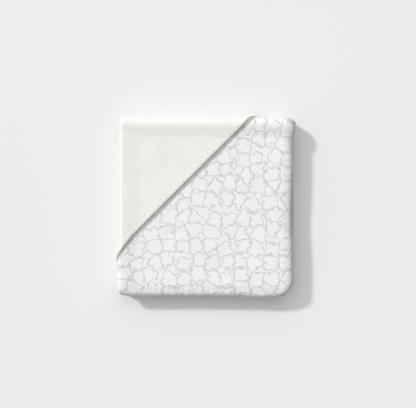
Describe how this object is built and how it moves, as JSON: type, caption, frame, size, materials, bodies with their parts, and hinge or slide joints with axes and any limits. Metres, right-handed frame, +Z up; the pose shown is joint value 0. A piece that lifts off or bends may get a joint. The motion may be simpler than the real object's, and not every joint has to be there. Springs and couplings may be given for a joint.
{
  "type": "hooded baby towel",
  "caption": "Square terry towel with a printed, terry-lined corner hood and corded piping, folded into a flat square packet whose top third turns over its back edge.",
  "frame": {"origin": "on the floor, under the middle of the folded packet", "axes": "+Z up; +X towards the top leaf's open edge, with the hood's sewn side along it; +Y towards the last fold"},
  "size_m": [0.2493, 0.2572, 0.0361],
  "materials": {
    "terry": "matte looped cotton pile, off-white",
    "printed_cotton": "matte woven cotton, white with thin grey printed outlines",
    "piping_tape": "matte grey bias tape",
    "filler_cord": "undyed twisted cotton",
    "satin_label": "white satin, blank"
  },
  "bodies": {
    "lower_thirds": {"terry_last_fold": "terry", "terry_lower_thirds": "terry", "hood_lining_fold": "terry", "hood_lining_tip": "terry", "hood_print_fold": "printed_cotton", "hood_print_tip": "printed_cotton", "edge_piping_lower_tape": "piping_tape", "edge_piping_lower_cord": "filler_cord", "edge_piping_fold_open_side_tape": "piping_tape", "edge_piping_fold_open_side_cord": "filler_cord", "edge_piping_fold_inner_side_tape": "piping_tape", "edge_piping_fold_inner_side_cord": "filler_cord", "mouth_piping_fold_tape": "piping_tape", "mouth_piping_fold_cord": "filler_cord", "mouth_piping_tip_tape": "piping_tape", "mouth_piping_tip_cord": "filler_cord"},
    "top_third": {"terry_top_third": "terry", "hood_lining": "terry", "hood_print": "printed_cotton", "edge_piping_top_tape": "piping_tape", "edge_piping_top_cord": "filler_cord", "mouth_piping_tape": "piping_tape", "mouth_piping_cord": "filler_cord", "care_label": "satin_label"}
  },
  "joints": [
    {"name": "last_fold", "type": "hinge", "parent": "lower_thirds", "child": "top_third", "pos_m": [0, 0.11095, 0.0174], "axis": [-1, 0, 0], "range_deg": [0, 180], "deforming": ["terry_last_fold", "hood_lining_fold", "hood_print_fold", "edge_piping_fold_open_side_tape", "edge_piping_fold_open_side_cord", "edge_piping_fold_inner_side_tape", "edge_piping_fold_inner_side_cord", "mouth_piping_fold_tape", "mouth_piping_fold_cord"]}
  ]
}
